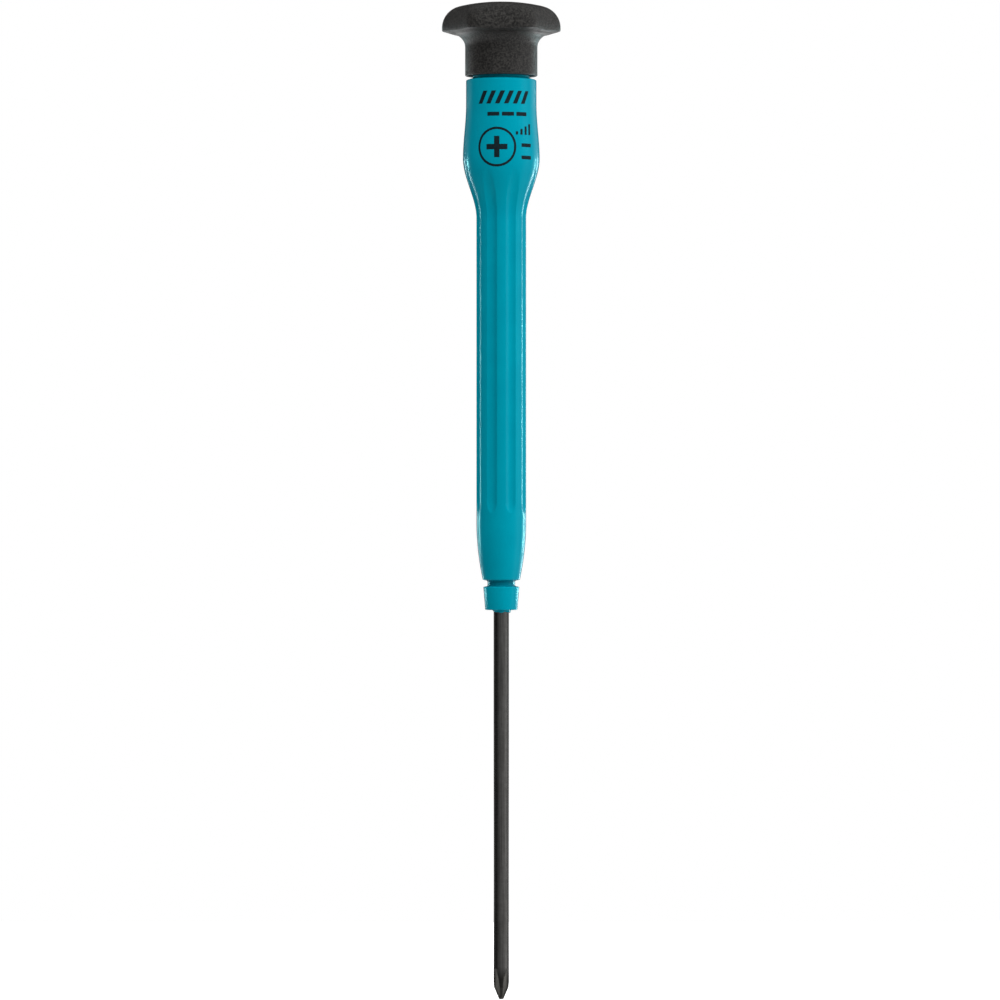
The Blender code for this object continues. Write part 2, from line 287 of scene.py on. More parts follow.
def loft(name, rings, first_pole, last_pole, material, body, node, sharp=35):
    """A closed mesh through rings of equal size, which stands for one CAD node."""
    count = len(rings[0])
    points = [point for ring in rings for point in ring]
    faces = []
    for row in range(len(rings) - 1):
        for i in range(count):
            j = (i + 1) % count
            base = row * count
            faces.append((base + i, base + j, base + count + j, base + count + i))
    points += [(0.0, 0.0, first_pole), (0.0, 0.0, last_pole)]
    first, last = len(points) - 2, len(points) - 1
    end = (len(rings) - 1) * count
    for i in range(count):
        j = (i + 1) % count
        faces.append((first, j, i))
        faces.append((last, end + i, end + j))
    piece = add_piece(name, points, faces, material, body, sharp)
    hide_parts(node)
    return piece


def add_piece(name, points, faces, material, body, sharp=35):
    """A closed, smooth-shaded mesh that rides on a body, its faces turned outwards."""
    mesh = bpy.data.meshes.new(name)
    mesh.from_pydata(points, [], faces)
    mesh.materials.append(material)
    if signed_volume(mesh) < 0:
        mesh.flip_normals()
    mesh.shade_smooth()
    mesh.set_sharp_from_angle(angle=radians(sharp))
    piece = bpy.data.objects.new(name, mesh)
    bpy.context.scene.collection.objects.link(piece)
    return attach(piece, body)


def signed_volume(mesh):
    """Above zero where the faces of a closed mesh point outwards."""
    total = 0.0
    for face in mesh.polygons:
        corners = [mesh.vertices[i].co for i in face.vertices]
        for second, third in zip(corners[1:], corners[2:]):
            total += corners[0].dot(second.cross(third))
    return total


# ---- blade -----------------------------------------------------------------


def tang_radius(angle, height, extra=0.0):
    """Radius of the buried shaft, which is pressed flat into two wings over a short length."""
    low, high = TANG_WING
    flat = smoothstep(height, low, low + TANG_RAMP)
    flat *= 1 - smoothstep(height, high - TANG_RAMP, high)
    wide = BLADE_RADIUS + flat * TANG_SPREAD
    thin = BLADE_RADIUS - flat * TANG_SQUEEZE
    return wide * thin / sqrt((thin * cos(angle)) ** 2 + (wide * sin(angle)) ** 2) + extra


def tang_ring(height, angles, extra=0.0):
    radii = [tang_radius(angle, height, extra) for angle in angles]
    return [(r * cos(a), r * sin(a), height) for r, a in zip(radii, angles)]


def blade_outline_radius(height):
    """Outer radius of the blade: a cone at the tip, a slight flare, then a waisted shaft."""
    if height <= TIP_CONE_LENGTH:
        blunting = TIP_END_ROUND * max(1 - height / TIP_END_ROUND, 0.0) ** 2
        grown = (TIP_CONE_RADIUS - TIP_END_RADIUS) * height / TIP_CONE_LENGTH
        return TIP_END_RADIUS - blunting + grown
    start, middle, end = WAIST
    rise = smoothstep(height, TIP_CONE_LENGTH, TIP_FLARE_END)
    flared = TIP_CONE_RADIUS + (TIP_FLARE_RADIUS - TIP_CONE_RADIUS) * rise
    waisted = (TIP_FLARE_RADIUS - WAIST_RADIUS) * smoothstep(height, start, middle)
    return flared - waisted + (BLADE_RADIUS - WAIST_RADIUS) * smoothstep(height, middle, end)


def tip_half_flute(height, outer, steps):
    """Points from a wing's middle to the next flute's floor, over an eighth of a turn.

    The flute narrows to an arch where it runs out, and above it the points spread out evenly.
    """
    thin, thick = WING_HALF_THICKNESS
    half = thin + (thick - thin) * min(height / TIP_CONE_LENGTH, 1.0)
    run_out = min(height / TIP_FLUTE_LENGTH, 1.0)
    cut = TIP_CORE_RADIUS + (outer - TIP_CORE_RADIUS) * run_out**TIP_CUTTER_CURVE
    core = min(max(cut, half * sqrt(2)), outer)
    width = sqrt(1 - (max(run_out - TIP_ARCH_START, 0.0) / (1 - TIP_ARCH_START)) ** 2)
    wing_edge = min(asin(min(half / outer, 1.0)), TIP_ARCH_EDGE)
    edge = TIP_ARCH_EDGE - (TIP_ARCH_EDGE - wing_edge) * width
    corner = Vector((outer * cos(edge), outer * sin(edge)))
    floor = Vector((core, core)) / sqrt(2)
    on_wing = steps // 3
    points = []
    for i in range(on_wing):
        turn = edge * i / on_wing
        points.append(Vector((outer * cos(turn), outer * sin(turn))))
    for i in range(steps - on_wing + 1):
        t = i / (steps - on_wing)
        sag = core * TIP_FLOOR_SAG * sin(pi * t) * (1 - run_out)
        points.append(corner.lerp(floor, t) - Vector((sag, sag)))
    spread = smoothstep(height, TIP_FLUTE_LENGTH, TIP_SPREAD_END)
    if spread > 0:
        for i, point in enumerate(points):
            turn = atan2(point.y, point.x)
            turn += ((pi / 4) * i / steps - turn) * spread
            points[i] = Vector((outer * cos(turn), outer * sin(turn)))
    return points


def tip_ring(height, steps):
    """One cross-section of the cross point, its quadrants turned copies of one."""
    half = tip_half_flute(height, blade_outline_radius(height), steps)
    quadrant = half + [Vector((point.y, point.x)) for point in half[-2:0:-1]]
    ring = []
    for turn in range(4):
        for point in quadrant:
            x, y = point
            for _ in range(turn):
                x, y = -y, x
            ring.append((x, y, height))
    return ring


def build_blade(material):
    heights = spaced(0.0, TIP_END_ROUND, 4)
    heights += spaced(TIP_END_ROUND, TIP_CONE_LENGTH, 18)
    heights += spaced(TIP_CONE_LENGTH, TIP_FLUTE_LENGTH, 40)
    heights += spaced(TIP_FLUTE_LENGTH, TIP_SPREAD_END, 18)
    rings = [tip_ring(height, TIP_HALF_FLUTE_STEPS) for height in heights]
    angles = spaced(0.0, 2 * pi, len(rings[0]))
    for height in spaced(TIP_SPREAD_END, SHAFT_END, 28):
        rings.append(turned_ring(blade_outline_radius(height), height, angles))
    low, high = TANG_WING
    top = BLADE_HIGH.z
    buried = [SHAFT_END, BELOW_TANG, *spaced(low, high, TANG_STEPS), high, ABOVE_TANG]
    for height in [*buried, top - BLADE_END_CHAMFER]:
        rings.append(tang_ring(height, angles))
    rings.append(turned_ring(BLADE_RADIUS - BLADE_END_CHAMFER, top, angles))
    return loft(
        "cross_blade", rings, BLADE_LOW.z, top, material, "driver", "blade", sharp=24
    )


# ---- handle ----------------------------------------------------------------


def body_radius(height):
    """Radius of the handle between its nose and its shoulder, without flutes."""
    if height < TAPER_TOP:
        fall = max(TAPER_TOP - height, 0.0) / (TAPER_TOP - NOSE_END)
        return GRIP_RADIUS - (GRIP_RADIUS - NOSE_RADIUS) * fall**TAPER_CURVE
    if height < BULB_CREST:
        swell = smoothstep(height, BULB_FOOT, BULB_CREST)
        return GRIP_RADIUS + (BULB_RADIUS - GRIP_RADIUS) * swell
    ebb = smoothstep(height, BULB_CREST, CROWN_START)
    return BULB_RADIUS + (CROWN_RADIUS - BULB_RADIUS) * ebb


def flute_cut(angle, height):
    """How far the surface lies below the round body here: arcs across, with U-shaped ends."""
    pitch = 2 * pi / FLUTES
    across = abs((angle % pitch) - pitch / 2) / FLUTE_HALF_ANGLE
    below = max(FLUTE_BOTTOM + FLUTE_BOTTOM_ROUND - height, 0.0) / FLUTE_BOTTOM_ROUND
    above = max(height - FLUTE_TOP + FLUTE_TOP_ROUND, 0.0) / FLUTE_TOP_ROUND
    inside = 1 - across**2 - below**2 - above**2
    softened = (inside + sqrt(inside**2 + FLUTE_EDGE_SOFTNESS**2)) / 2
    spare = FLUTE_EDGE_SOFTNESS**2 / (4 * max(-inside, 0.05)) if inside < 0 else 0.0
    return FLUTE_DEPTH * max(softened - spare, 0.0)


def handle_angles():
    """Angles round the handle, closest together at the flutes' edges."""
    pitch = 2 * pi / FLUTES
    land_half = pitch / 2 - FLUTE_HALF_ANGLE
    edge = radians(1.6)
    angles = []
    for i in range(FLUTES):
        land = i * pitch
        stops = (
            (land - land_half - edge, land - land_half + edge, 6),
            (land - land_half + edge, land + land_half - edge, 8),
            (land + land_half - edge, land + land_half + edge, 6),
            (land + land_half + edge, land + pitch - land_half - edge, 12),
        )
        for start, end, steps in stops:
            angles += spaced(start, end, steps)
    return angles


def body_heights():
    """Heights along the body, closest together where its surface changes fastest."""
    heights = spaced(NOSE_END + 0.3 * MM, TAPER_TOP, 30)
    heights += spaced(TAPER_TOP, FLUTE_BOTTOM - 0.3 * MM, 4)
    heights += spaced(FLUTE_BOTTOM - 0.3 * MM, FLUTE_BOTTOM + FLUTE_BOTTOM_ROUND + 0.1 * MM, 22)
    heights += spaced(FLUTE_BOTTOM + FLUTE_BOTTOM_ROUND + 0.1 * MM, BULB_FOOT - 1 * MM, 22)
    heights += spaced(BULB_FOOT - 1 * MM, CROWN_START, 64)
    heights += spaced(CROWN_START, SHOULDER - 0.4 * MM, 5)
    return heights


def collar_outline():
    """(radius, height) up the outside from the blade's boss to the handle's nose."""
    return rounded(
        [
            (BLADE_RADIUS + BLADE_CLEARANCE, HANDLE_LOW.z, 0),
            (BOSS_RADIUS - 0.10 * MM, HANDLE_LOW.z, 0.1 * MM),
            (BOSS_RADIUS, COLLAR_BOTTOM, 0.15 * MM),
            (COLLAR_LOW_RADIUS, COLLAR_BOTTOM + 0.02 * MM, 0.14 * MM),
            (COLLAR_HIGH_RADIUS, COLLAR_TOP, 0.14 * MM),
            (GROOVE_RADIUS, COLLAR_TOP + 0.12 * MM, 0.18 * MM),
            (GROOVE_RADIUS, NOSE_END - 0.15 * MM, 0.18 * MM),
            (NOSE_RADIUS, NOSE_END, 0.16 * MM),
            (body_radius(NOSE_END + 0.3 * MM), NOSE_END + 0.3 * MM, 0),
        ]
    )[:-1]


def flash_ring(radius, height, angles):
    """A ring of the nose; below the collar it is flash that hangs unevenly round the blade."""
    hang = 1 - smoothstep(height, COLLAR_BOTTOM - 0.12 * MM, COLLAR_BOTTOM)
    ring = []
    for angle in angles:
        uneven = 0.5 * cos(angle - FLASH_SIDE) + 0.3 * sin(3 * angle + 1.0) + 0.2 * sin(7 * angle)
        spread = radius
        if radius > BLADE_RADIUS + 0.1 * MM:
            spread += hang * FLASH_UNEVENNESS * uneven * 0.5
        drop = hang * FLASH_UNEVENNESS * (0.4 - uneven)
        ring.append((spread * cos(angle), spread * sin(angle), height + drop))
    return ring


def spigot_outline():
    """(radius, height) from the shoulder up the spigot, over its snap bead, to its end."""
    bead_foot, bead_low, bead_high, bead_top = BEAD_STEPS
    return rounded(
        [
            (CROWN_RADIUS, SHOULDER - 0.4 * MM, 0),
            (CROWN_RADIUS, SHOULDER, 0.22 * MM),
            (SPIGOT_RADIUS, SHOULDER + 0.33 * MM, 0.12 * MM),
            (SPIGOT_RADIUS, bead_foot, 0.3 * MM),
            (BEAD_RADIUS, bead_low, 0.3 * MM),
            (BEAD_RADIUS, bead_high, 0.3 * MM),
            (SPIGOT_END_RADIUS, bead_top, 0.3 * MM),
            (SPIGOT_END_RADIUS, SPIGOT_TOP, 0.3 * MM),
            (BALL_SEAT_RADIUS, SPIGOT_TOP, 0),
        ]
    )[:-1]


def build_handle(material):
    angles = handle_angles()
    low, high = TANG_WING
    bore_top = BLADE_HIGH.z + BORE_END_CLEARANCE
    rings = []
    tang = [*spaced(high, low, TANG_STEPS), low]
    for height in [bore_top, *tang, BELOW_TANG, BURIED_FOOT]:
        rings.append(tang_ring(height, angles, BLADE_CLEARANCE))
    rings += [flash_ring(radius, height, angles) for radius, height in collar_outline()]
    for height in body_heights():
        radii = [body_radius(height) - flute_cut(a, height) for a in angles]
        rings.append([(r * cos(a), r * sin(a), height) for r, a in zip(radii, angles)])
    seat, seat_pole = seat_outline(SPIGOT_TOP, top=False)
    rings += [turned_ring(radius, height, angles) for radius, height in spigot_outline() + seat]
    return loft(
        "grip_moulding", rings, bore_top, seat_pole, material, "driver", "handle"
    )


# ---- cap -------------------------------------------------------------------


def hex_share(angle):
    """Radius at this angle of a hexagon with round corners, as a share of its corner radius."""
    centre = HEAD_CORNER_RADIUS - HEAD_CORNER_ROUND
    apothem = centre * cos(pi / 6) + HEAD_CORNER_ROUND
    from_corner = abs((angle + pi / 6) % (pi / 3) - pi / 6)
    from_face = pi / 6 - from_corner
    if apothem * sin(from_face) / cos(from_face) <= centre * sin(pi / 6):
        return apothem / cos(from_face) / HEAD_CORNER_RADIUS
    reach = centre * sin(from_corner)
    return (centre * cos(from_corner) + sqrt(HEAD_CORNER_ROUND**2 - reach**2)) / HEAD_CORNER_RADIUS


def head_ring(radius, height, hexness, angles):
    """A ring of the head, round (hexness 0) to hexagonal (1), its rim lower along the flats."""
    drop = RIM_DROP * hexness * (1 - smoothstep(height - HEAD_BOTTOM, 0.0, RIM_DROP_FADE))
    deepest = 1 - hex_share(pi / 6)
    ring = []
    for angle in angles:
        inset = 1 - hex_share(angle)
        reach = radius * (1 - hexness * inset)
        ring.append((reach * cos(angle), reach * sin(angle), height - drop * inset / deepest))
    return ring


def crown_outline():
    """(radius, height) from the rim's edge, round the shoulder and over the dome to its flat."""
    dome_edge = HEAD_CORNER_RADIUS - HEAD_SHOULDER_ROUND * (1 - sin(CROWN_EDGE_SLOPE))
    dome_radius = dome_edge / sin(CROWN_EDGE_SLOPE)
    flat_slope = asin(CROWN_FLAT_RADIUS / dome_radius)
    dome_centre = CAP_HIGH.z - dome_radius * cos(flat_slope)
    widest = dome_centre + (dome_radius - HEAD_SHOULDER_ROUND) * cos(CROWN_EDGE_SLOPE)
    outline = []
    for turn in spaced(-pi / 2, 0.0, 6):
        radius = HEAD_CORNER_RADIUS - HEAD_RIM_ROUND * (1 - cos(turn))
        outline.append((radius, HEAD_BOTTOM + HEAD_RIM_ROUND * (1 + sin(turn))))
    for turn in spaced(0.0, pi / 2 - CROWN_EDGE_SLOPE, 26):
        radius = HEAD_CORNER_RADIUS - HEAD_SHOULDER_ROUND * (1 - cos(turn))
        outline.append((radius, widest + HEAD_SHOULDER_ROUND * sin(turn)))
    for slope in [*spaced(CROWN_EDGE_SLOPE, flat_slope, 14), flat_slope]:
        outline.append((dome_radius * sin(slope), dome_centre + dome_radius * cos(slope)))
    return outline


def cap_bore_outline():
    """(radius, height) down the inside of the cap, from its ceiling to its mouth."""
    groove_top, groove_high, groove_low, groove_foot = SNAP_GROOVE_STEPS
    return rounded(
        [
            (BALL_SEAT_RADIUS, CEILING, 0),
            (CAP_BORE_RADIUS, CEILING, 0.3 * MM),
            (CAP_BORE_RADIUS, groove_top, 0.2 * MM),
            (SNAP_GROOVE_RADIUS, groove_high, 0.2 * MM),
            (SNAP_GROOVE_RADIUS, groove_low, 0.2 * MM),
            (CAP_BORE_RADIUS, groove_foot, 0.2 * MM),
            (CAP_BORE_RADIUS, CAP_LOW.z, 0.2 * MM),
            (SKIRT_RADIUS, CAP_LOW.z, 0.18 * MM),
            (SKIRT_RADIUS, HOLLOW_START, 0),
        ]
    )[1:]


def build_cap(material):
    angles = spaced(0.0, 2 * pi, 240)
    seat, seat_pole = seat_outline(CEILING, top=True)
    inside = seat[::-1] + cap_bore_outline()
    rings = [turned_ring(radius, height, angles) for radius, height in inside]
    turns = 20
    for step in range(1, turns + 1):
        turn = step * pi / 2 / turns
        radius = SKIRT_RADIUS + HOLLOW_WIDTH * (1 - cos(turn))
        height = HOLLOW_START + HOLLOW_RISE * sin(turn)
        rings.append(head_ring(radius, height, (step / turns) ** 3, angles))
    for radius, height in crown_outline():
        hexness = 1 - smoothstep(height - HEAD_BOTTOM, *HEX_FADE)
        rings.append(head_ring(radius, height, hexness, angles))
    return loft(
        "cap_moulding", rings, seat_pole, CAP_HIGH.z, material, "cap", "swivel_cap"
    )


# ---- materials -------------------------------------------------------------


class Nodes:
    """Short calls for the nodes of one tree."""

    def __init__(self, tree, coordinates):
        self.tree = tree
        self.place = tree.nodes.new("ShaderNodeTexCoord").outputs[coordinates]

    def stretched(self, x, y, z):
        """The object's own coordinates, scaled along each axis."""
        mapping = self.tree.nodes.new("ShaderNodeMapping")
        mapping.inputs["Scale"].default_value = (x, y, z)
        self.tree.links.new(self.place, mapping.inputs["Vector"])
        return mapping.outputs["Vector"]

    def noise(self, size, detail=3.0, roughness=0.5, place=None):
        """Noise whose patches are about size across, from 0 to 1."""
        node = self.tree.nodes.new("ShaderNodeTexNoise")
        node.inputs["Scale"].default_value = 1.0 / size
        node.inputs["Detail"].default_value = detail
        node.inputs["Roughness"].default_value = roughness
        self.tree.links.new(place or self.place, node.inputs["Vector"])
        return node.outputs["Fac"]

    def ranged(self, value, low_in, high_in, low_out, high_out):
        node = self.tree.nodes.new("ShaderNodeMapRange")
        sockets = ("From Min", "From Max", "To Min", "To Max")
        for socket, number in zip(sockets, (low_in, high_in, low_out, high_out)):
            node.inputs[socket].default_value = number
        self.tree.links.new(value, node.inputs["Value"])
        return node.outputs["Result"]

    def math(self, operation, first, second):
        node = self.tree.nodes.new("ShaderNodeMath")
        node.operation = operation
        for socket, value in zip(node.inputs, (first, second)):
            if isinstance(value, (int, float)):
                socket.default_value = value
            else:
                self.tree.links.new(value, socket)
        return node.outputs["Value"]

    def split(self):
        """The coordinates' own X, Y and Z."""
        node = self.tree.nodes.new("ShaderNodeSeparateXYZ")
        self.tree.links.new(self.place, node.inputs["Vector"])
        return node.outputs

    def radius(self):
        """The distance from the tool's axis."""
        x, y, _ = self.split()
        square = self.math("ADD", self.math("MULTIPLY", x, x), self.math("MULTIPLY", y, y))
        return self.math("SQRT", square, 0.0)

    def height_above(self, start, end):
        """0 below start and 1 above end, along the tool's axis."""
        return self.ranged(self.split()["Z"], start, end, 0.0, 1.0)

    def colours(self, factor, first, second):
        """A mix of two colours, or of a colour and a colour socket."""
        node = self.tree.nodes.new("ShaderNodeMix")
        node.data_type = "RGBA"
        self.tree.links.new(factor, node.inputs["Factor"])
        for socket, value in (("A", first), ("B", second)):
            target = next(i for i in node.inputs if i.name == socket and i.type == "RGBA")
            if isinstance(value, tuple):
                target.default_value = (*value, 1.0)
            else:
                self.tree.links.new(value, target)
        return next(o for o in node.outputs if o.type == "RGBA")


class Look(Nodes):
    """A Principled material and what feeds it."""

    def __init__(self, name, roughness, metallic=0.0, specular=0.5):
        self.material = bpy.data.materials.new(name)
        self.material.use_nodes = True
        super().__init__(self.material.node_tree, "Object")
        self.shader = self.tree.nodes["Principled BSDF"]
        self.shader.inputs["Roughness"].default_value = roughness
        self.shader.inputs["Metallic"].default_value = metallic
        self.shader.inputs["Specular IOR Level"].default_value = specular

    def paint(self, colour):
        self.tree.links.new(colour, self.shader.inputs["Base Color"])

    def rough(self, value):
        self.tree.links.new(value, self.shader.inputs["Roughness"])

    def bump(self, height, depth, normal=None):
        """Relief of the given depth in metres; returns its normal so that another can follow."""
        node = self.tree.nodes.new("ShaderNodeBump")
        node.inputs["Strength"].default_value = 1.0
        node.inputs["Distance"].default_value = depth
        self.tree.links.new(height, node.inputs["Height"])
        if normal is not None:
            self.tree.links.new(normal, node.inputs["Normal"])
        self.tree.links.new(node.outputs["Normal"], self.shader.inputs["Normal"])
        return node.outputs["Normal"]

    def clear_from_below(self):
        """Lets the back of the faces be seen through."""
        mix = self.tree.nodes.new("ShaderNodeMixShader")
        clear = self.tree.nodes.new("ShaderNodeBsdfTransparent")
        side = self.tree.nodes.new("ShaderNodeNewGeometry").outputs["Backfacing"]
        end = self.tree.nodes["Material Output"].inputs["Surface"]
        self.tree.links.new(side, mix.inputs[0])
        self.tree.links.new(self.shader.outputs["BSDF"], mix.inputs[1])
        self.tree.links.new(clear.outputs["BSDF"], mix.inputs[2])
        self.tree.links.new(mix.outputs["Shader"], end)


def teal_plastic():
    """Semi-gloss plastic: a faint mottle, a fine skin, rubbed streaks and painted shade in the
    nose groove.
    """
    look = Look("teal_plastic", 0.2, specular=0.4)
    look.shader.inputs["Specular Tint"].default_value = (0.02, 0.75, 0.85, 1.0)
    mottle = look.ranged(look.noise(4 * MM, 4.0), 0.3, 0.7, 0.0, 1.0)
    colour = look.colours(mottle, (0.0, 0.305, 0.420), (0.0, 0.330, 0.445))
    streaks = look.noise(0.5 * MM, 2.0, 0.6, look.stretched(1.0, 1.0, 0.12))
    rubbed = look.ranged(streaks, 0.66, 0.86, 0.0, 0.35)
    colour = look.colours(rubbed, colour, (0.004, 0.350, 0.460))
    # Painted shade: the floor of the nose groove above the collar is darkened, standing in for its
    # shadow.
    groove_floor = GROOVE_RADIUS + 0.05 * MM
    in_groove = look.ranged(look.radius(), groove_floor, groove_floor + 0.3 * MM, 0.6, 0.0)
    above_collar = look.height_above(COLLAR_TOP - 0.1 * MM, COLLAR_TOP)
    groove_painted_shade = look.math("MULTIPLY", in_groove, above_collar)
    look.paint(look.colours(groove_painted_shade, colour, (0.0, 0.10, 0.16)))
    skin = look.noise(0.35 * MM, 4.0)
    look.rough(look.ranged(skin, 0.3, 0.7, 0.15, 0.24))
    first = look.bump(look.noise(0.9 * MM, 2.0), 2e-6)
    look.bump(skin, 6e-7, first)
    return look.material


def charcoal_plastic():
    """Matt charcoal plastic with the fine grain of a spark-eroded mould and paler rubbed spots."""
    look = Look("charcoal_plastic", 0.5)
    grain = look.noise(0.27 * MM, 3.0, 0.65)
    tone = look.ranged(grain, 0.41, 0.61, 0.0, 1.0)
    colour = look.colours(tone, (0.0018, 0.0017, 0.0015), (0.036, 0.034, 0.0315))
    rubs = look.ranged(look.noise(0.9 * MM, 6.0, 0.75), 0.54, 0.74, 0.0, 0.6)
    look.paint(look.colours(rubs, colour, (0.045, 0.043, 0.040)))
    look.rough(look.ranged(look.noise(0.5 * MM, 3.0), 0.3, 0.7, 0.42, 0.58))
    first = look.bump(look.noise(0.5 * MM, 2.0), 9e-6)
    look.bump(grain, 3.2e-5, first)
    return look.material


def black_steel():
    """Black-oxide steel: drawn streaks, grinding marks, barer milled flutes and a worn point."""
    look = Look("black_steel", 0.33, 1.0)
    blotch = look.ranged(look.noise(0.7 * MM, 4.0, 0.6), 0.3, 0.7, 0.0, 1.0)
    colour = look.colours(blotch, (0.158, 0.155, 0.149), (0.202, 0.199, 0.192))
    drawn = look.noise(0.22 * MM, 3.0, 0.6, look.stretched(1.0, 1.0, 0.03))
    streaks = look.ranged(drawn, 0.45, 0.62, 0.0, 0.55)
    colour = look.colours(streaks, colour, (0.085, 0.083, 0.080))
    above_point = look.height_above(TIP_FLUTE_LENGTH - 0.4 * MM, TIP_FLUTE_LENGTH + 0.4 * MM)
    point = look.math("SUBTRACT", 1.0, above_point)
    slope = (TIP_CONE_RADIUS - TIP_END_RADIUS) / TIP_CONE_LENGTH
    cone = look.math("ADD", look.math("MULTIPLY", look.split()["Z"], slope), TIP_END_RADIUS)
    sunk = look.math("SUBTRACT", look.math("MINIMUM", cone, TIP_CONE_RADIUS), look.radius())
    flute = look.ranged(sunk, 0.03 * MM, 0.36 * MM, 0.0, 1.0)
    above_lands = look.height_above(TIP_FLUTE_LENGTH - 1.6 * MM, TIP_FLUTE_LENGTH + 0.6 * MM)
    lands = look.math("SUBTRACT", 0.9, above_lands)
    colour = look.colours(look.math("MAXIMUM", lands, 0.0), colour, (0.028, 0.027, 0.024))
    milled = look.noise(0.10 * MM, 2.0, 0.5, look.stretched(1.0, 1.0, 0.2))
    bare = look.math("MULTIPLY", flute, point)
    bare = look.math("MULTIPLY", bare, look.ranged(milled, 0.25, 0.6, 0.55, 1.0))
    colour = look.colours(bare, colour, (0.26, 0.254, 0.236))
    worn = look.math("SUBTRACT", 1.0, look.height_above(0.05 * MM, 0.5 * MM))
    chips = look.ranged(look.noise(0.2 * MM, 4.0, 0.7), 0.45, 0.6, 0.0, 0.5)
    look.paint(look.colours(look.math("MULTIPLY", worn, chips), colour, (0.30, 0.29, 0.27)))
    rings = look.noise(0.12 * MM, 2.0, 0.5, look.stretched(0.08, 0.08, 1.0))
    look.rough(look.ranged(rings, 0.3, 0.7, 0.26, 0.38))
    first = look.bump(rings, 1.2e-6)
    look.bump(look.noise(0.6 * MM, 3.0), 4e-6, first)
    return look.material


def bearing_steel():
    """Polished ball steel with a faint haze."""
    look = Look("bearing_steel", 0.14, 1.0)
    haze = look.noise(0.4 * MM, 4.0)
    pale = look.ranged(haze, 0.3, 0.7, 0.0, 1.0)
    look.paint(look.colours(pale, (0.52, 0.52, 0.53), (0.66, 0.66, 0.67)))
    look.rough(look.ranged(haze, 0.3, 0.7, 0.10, 0.20))
    look.bump(look.noise(0.1 * MM, 3.0), 4e-7)
    return look.material


def print_ink():
    """Pad-printed black ink, a little uneven."""
    look = Look("print_ink", 0.45, specular=0.2)
    cover = look.ranged(look.noise(0.25 * MM, 4.0, 0.6), 0.3, 0.6, 0.0, 1.0)
    look.paint(look.colours(cover, (0.003, 0.006, 0.008), (0.004, 0.018, 0.024)))
    look.rough(look.ranged(cover, 0.0, 1.0, 0.4, 0.55))
    look.bump(look.noise(0.12 * MM, 2.0), 2e-6)
    return look.material


# ---- printed marks ---------------------------------------------------------


def on_handle(across, height, lift):
    """The point of the handle's surface this far round from the front, raised by lift."""
    radius = body_radius(height)
    angle = -pi / 2 + across / radius
    return ((radius + lift) * cos(angle), (radius + lift) * sin(angle), height)


def ink_patch(points, faces, grid):
    """Adds a closed, thin slab of ink over a grid of (across, height) pairs."""
    start = len(points)
    rows, columns = len(grid), len(grid[0])
    for lift in (INK_THICKNESS, -INK_THICKNESS):
        points += [on_handle(across, height, lift) for row in grid for across, height in row]
    under = rows * columns
    index = [[start + r * columns + c for c in range(columns)] for r in range(rows)]
    for lower, upper in zip(index, index[1:]):
        for c in range(columns - 1):
            face = (lower[c], lower[c + 1], upper[c + 1], upper[c])
            faces.append(face)
            faces.append(tuple(i + under for i in reversed(face)))
    right = [row[-1] for row in index[1:-1]]
    left = [row[0] for row in index[1:-1]]
    border = index[0] + right + index[-1][::-1] + left[::-1]
    for i, j in zip(border, border[1:] + border[:1]):
        faces.append((i, i + under, j + under, j))


def bar(points, faces, left, right, low, high, lean):
    """A printed bar in millimetres, its top moved sideways by lean."""
    across_steps = max(2, round((right - left) / INK_STEP))
    height_steps = max(2, round((high - low) / INK_STEP))
    grid = []
    for r in range(height_steps + 1):
        t = r / height_steps
        row = []
        for c in range(across_steps + 1):
            across = left + (right - left) * c / across_steps + lean * t
            row.append((across * MM, (low + (high - low) * t) * MM))
        grid.append(row)
    ink_patch(points, faces, grid)


def ring_mark(points, faces, centre, height, radius, width):
    """A printed ring in millimetres, in two halves that meet."""
    steps = 40
    for half in (0.0, pi):
        grid = []
        for reach in (radius - width / 2, radius + width / 2):
            row = []
            for i in range(steps + 1):
                turn = half + pi * i / steps
                across = centre + reach * cos(turn)
                row.append((across * MM, (height + reach * sin(turn)) * MM))
            grid.append(row)
        ink_patch(points, faces, grid)


def print_bars(name, bars, material):
    """One printed piece of (left, right, low, high, lean) bars."""
    points, faces = [], []
    for left, right, low, high, lean in bars:
        bar(points, faces, left, right, low, high, lean)
    add_piece(name, points, faces, material, "driver")


def build_print(material):
    """Plain marks: slanted strokes, a dashed rule, ticks and bars, and a plus in a ring."""
    strokes = [(left, left + STROKE_WIDTH, *STROKE_SPAN, STROKE_LEAN) for left in STROKE_LEFTS]
    print_bars("print_strokes", strokes, material)
    rule = [(left, left + RULE_DASH, *RULE_SPAN, 0.0) for left in RULE_LEFTS]
    print_bars("print_rule", rule, material)
    ticks = [(left, left + TICK_WIDTH, TICK_LOW, high, 0.0) for left, high in TICKS]
    ticks += [(*SHORT_BAR_SIDES, low, low + SHORT_BAR_HEIGHT, 0.0) for low in SHORT_BAR_LOWS]
    print_bars("print_ticks", ticks, material)
    points, faces = [], []
    ring_mark(points, faces, RING_CENTRE, RING_HEIGHT, RING_RADIUS, RING_WIDTH)
    add_piece("print_ring", points, faces, material, "driver")
    centre, height, arm, half = RING_CENTRE, RING_HEIGHT, PLUS_ARM, PLUS_HALF_WIDTH
    plus = [
        (centre - arm, centre + arm, height - half, height + half, 0.0),
        (centre - half, centre + half, height + half, height + arm, 0.0),
        (centre - half, centre + half, height - arm, height - half, 0.0),
    ]
    print_bars("print_plus", plus, material)


# ---- stage -----------------------------------------------------------------


